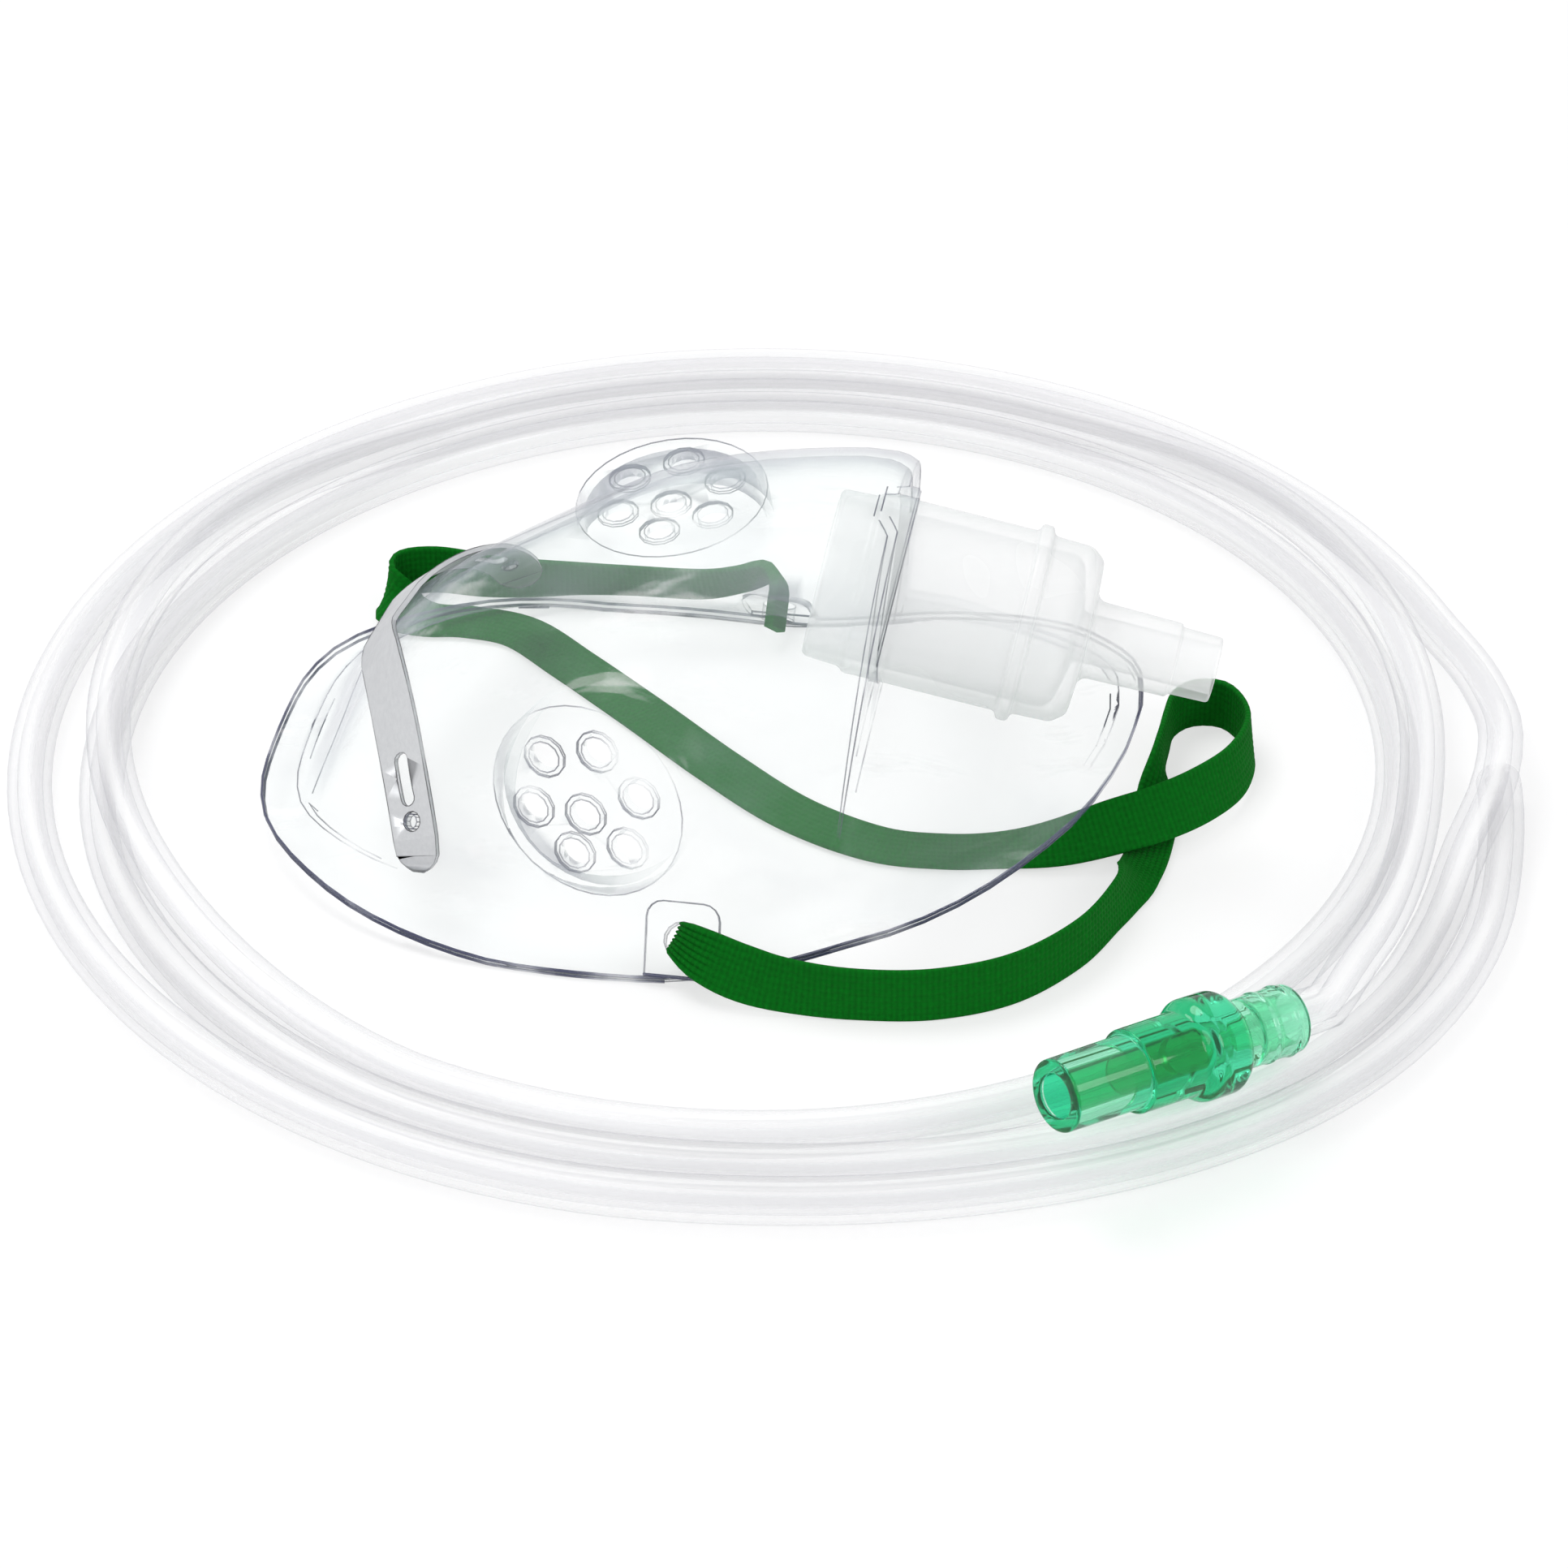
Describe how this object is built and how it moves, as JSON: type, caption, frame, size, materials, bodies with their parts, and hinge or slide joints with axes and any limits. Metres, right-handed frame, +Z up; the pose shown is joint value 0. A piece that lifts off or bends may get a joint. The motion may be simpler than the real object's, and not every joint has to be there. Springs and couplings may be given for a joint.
{
  "type": "oxygen face mask",
  "caption": "Clear vinyl oxygen face mask with vent bosses, nose clip, frosted port connector, green elastic strap and coiled supply tube with a green push-on connector.",
  "frame": {"origin": "under the middle of the mask shell with its clip and port connector, on the table plane", "axes": "+X from the nose end to the chin end along the mask's length, +Y to the mask's left cheek, +Z up from the table"},
  "size_m": [0.2447, 0.2432, 0.0592],
  "materials": {
    "clear_vinyl": "clear soft vinyl, glossy",
    "clip_aluminium": "brushed, soft",
    "frosted_plastic": "frosted translucent",
    "green_plastic": "translucent emerald, glossy",
    "tube_vinyl": "clear ribbed-bore vinyl tube",
    "green_elastic": "woven flat elastic"
  },
  "bodies": {
    "root": {"mask_shell": "clear_vinyl", "nose_clip": "clip_aluminium", "port_connector": "frosted_plastic", "tube_connector": "green_plastic", "supply_tube": "tube_vinyl", "elastic_strap": "green_elastic"}
  },
  "joints": []
}
